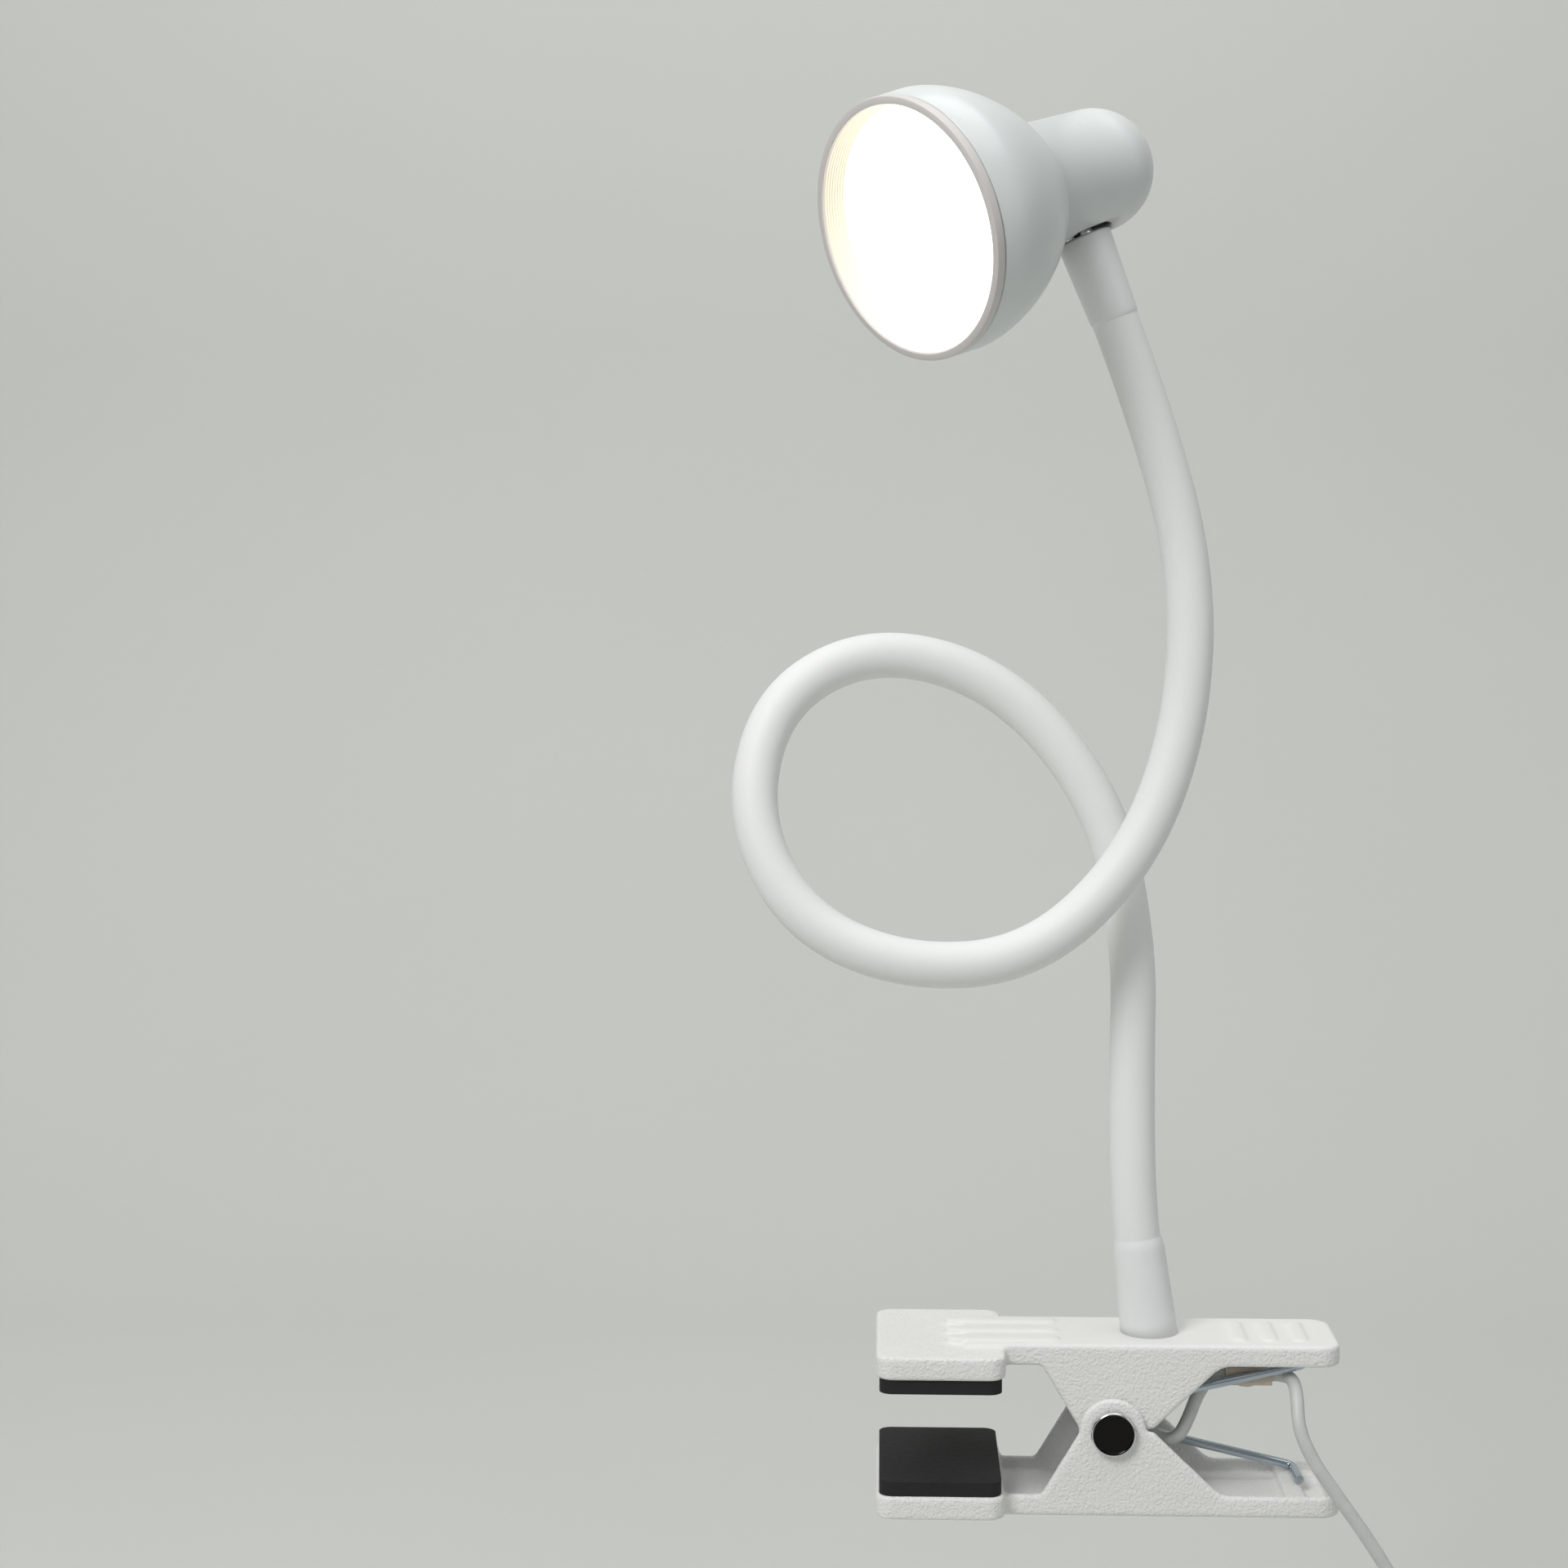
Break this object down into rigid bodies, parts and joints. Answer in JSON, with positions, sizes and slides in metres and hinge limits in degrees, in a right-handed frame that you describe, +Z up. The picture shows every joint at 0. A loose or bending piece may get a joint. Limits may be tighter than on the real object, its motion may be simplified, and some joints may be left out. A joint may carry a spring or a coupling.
{
  "type": "clip-on reading lamp",
  "caption": "Clip-on reading lamp with a bell head on a ball joint, a looped bendable neck, a sprung clamp with rubber pads, and a USB lead with an inline switch.",
  "frame": {"origin": "middle of the upper jaw's gripping face, where the clamp rests on a table edge", "axes": "+Z up out of the table, +X from the jaws to the handles, +Y to the far side of the clamp as seen from its usual side view"},
  "size_m": [0.1868, 0.0805, 0.4756],
  "materials": {
    "clamp_plastic": "moulded ABS with a fine grain",
    "grip_rubber": "soft black",
    "pin_chrome": "mirror",
    "spring_steel": "zinc plated",
    "clip_plastic": "translucent beige",
    "screw_steel": "zinc plated",
    "stud_steel": "nickel plated, threaded",
    "collar_plastic": "satin",
    "neck_silicone": "matte silicone",
    "hose_steel": "wound strip",
    "wire_insulation": "thin PVC, one core red and one black",
    "head_plastic": "satin gloss",
    "bezel_plastic": "satin, slightly warm grey",
    "diffuser_plastic": "milky, lit from behind",
    "reflector_plastic": "cream white",
    "board_white": "white solder mask on aluminium",
    "led_phosphor": "phosphor over the dies",
    "carrier_metal": "turned",
    "socket_plastic": "acetal",
    "stem_metal": "polished",
    "cable_jacket": "slightly clear PVC",
    "switch_plastic": "fine spark finish",
    "button_plastic": "gloss",
    "board_green": "solder mask on glass epoxy",
    "tie_plastic": "soft band",
    "plug_rubber": "moulded PVC",
    "plug_steel": "nickel plated",
    "tongue_plastic": "satin"
  },
  "bodies": {
    "clamp": {"upper_jaw": "clamp_plastic", "upper_grip_pad": "grip_rubber", "pivot_pin": "pin_chrome", "pin_cap": "pin_chrome", "torsion_spring": "spring_steel", "cable_clip": "clip_plastic", "clip_screw": "screw_steel", "base_collar": "collar_plastic", "base_stud": "stud_steel", "base_washer": "screw_steel", "base_nut": "screw_steel", "sleeve_1": "neck_silicone", "hose_1": "hose_steel", "feed_wires_1": "wire_insulation", "cable_inner": "cable_jacket", "cable_lead": "cable_jacket", "switch_base": "switch_plastic", "switch_cover": "switch_plastic", "switch_board": "board_green", "cable_drop": "cable_jacket", "cable_coil": "cable_jacket", "coil_tie": "tie_plastic", "cable_tail": "cable_jacket", "usb_overmold": "plug_rubber", "usb_shell": "plug_steel", "usb_tongue": "tongue_plastic"},
    "lower_jaw": {"lower_jaw": "clamp_plastic", "lower_grip_pad": "grip_rubber"},
    "neck_2": {"sleeve_2": "neck_silicone", "hose_2": "hose_steel", "feed_wires_2": "wire_insulation"},
    "neck_3": {"sleeve_3": "neck_silicone", "hose_3": "hose_steel", "feed_wires_3": "wire_insulation"},
    "neck_4": {"sleeve_4": "neck_silicone", "hose_4": "hose_steel", "feed_wires_4": "wire_insulation"},
    "neck_5": {"sleeve_5": "neck_silicone", "hose_5": "hose_steel", "feed_wires_5": "wire_insulation"},
    "neck_6": {"sleeve_6": "neck_silicone", "hose_6": "hose_steel", "feed_wires_6": "wire_insulation"},
    "neck_7": {"sleeve_7": "neck_silicone", "hose_7": "hose_steel", "feed_wires_7": "wire_insulation", "head_collar": "collar_plastic"},
    "stem": {"ball_stem": "stem_metal"},
    "head": {"head_shell": "head_plastic", "bezel_ring": "bezel_plastic", "diffuser": "diffuser_plastic", "reflector": "reflector_plastic", "led_board": "board_white", "led_chips": "led_phosphor", "led_carrier": "carrier_metal", "socket_front": "socket_plastic", "socket_rear": "socket_plastic", "head_screws": "screw_steel", "head_wires": "wire_insulation"},
    "switch_button": {"switch_button": "button_plastic"}
  },
  "joints": [
    {"name": "jaw_hinge", "type": "hinge", "parent": "clamp", "child": "lower_jaw", "pos_m": [0.0413, 0, -0.0107], "axis": [0, 1, 0], "range_deg": [-24, 20.5], "stiffness_Nm_per_rad": 0.9, "springref_deg": 34, "deforming": ["torsion_spring"]},
    {"name": "neck_bend_1", "type": "hinge", "parent": "clamp", "child": "neck_2", "pos_m": [0.0466, 0.00175, 0.0585], "axis": [1, 0, 0], "range_deg": [-20, 20]},
    {"name": "neck_bend_2", "type": "hinge", "parent": "neck_2", "child": "neck_3", "pos_m": [0.0276, 0.0085, 0.1534], "axis": [0, 1, 0], "range_deg": [-12, 12]},
    {"name": "neck_bend_3", "type": "hinge", "parent": "neck_3", "child": "neck_4", "pos_m": [-0.02825, 0.0045, 0.17055], "axis": [0, 1, 0], "range_deg": [-12, 12]},
    {"name": "neck_bend_4", "type": "hinge", "parent": "neck_4", "child": "neck_5", "pos_m": [-0.04055, -0.012, 0.12465], "axis": [0, 1, 0], "range_deg": [-12, 12]},
    {"name": "neck_bend_5", "type": "hinge", "parent": "neck_5", "child": "neck_6", "pos_m": [0.006, -0.017, 0.1025], "axis": [0, 1, 0], "range_deg": [-12, 12]},
    {"name": "neck_bend_6", "type": "hinge", "parent": "neck_6", "child": "neck_7", "pos_m": [0.0544, -0.0048, 0.21025], "axis": [1, 0, 0], "range_deg": [-20, 20]},
    {"name": "head_swivel", "type": "hinge", "parent": "neck_7", "child": "stem", "pos_m": [0.0272, -0.0046, 0.2858], "axis": [0.3679, 0, -0.9299], "range_deg": [-150, 150]},
    {"name": "head_tilt", "type": "hinge", "parent": "stem", "child": "head", "pos_m": [0.0272, -0.0046, 0.2858], "axis": [-0.5647, 0.7944, -0.2234], "range_deg": [-20, 2]},
    {"name": "switch_press", "type": "slide", "parent": "clamp", "child": "switch_button", "axis": [0, 1, 0], "range_m": [0, 0.0008], "stiffness_N_per_m": 220, "springref_m": -0.001}
  ]
}
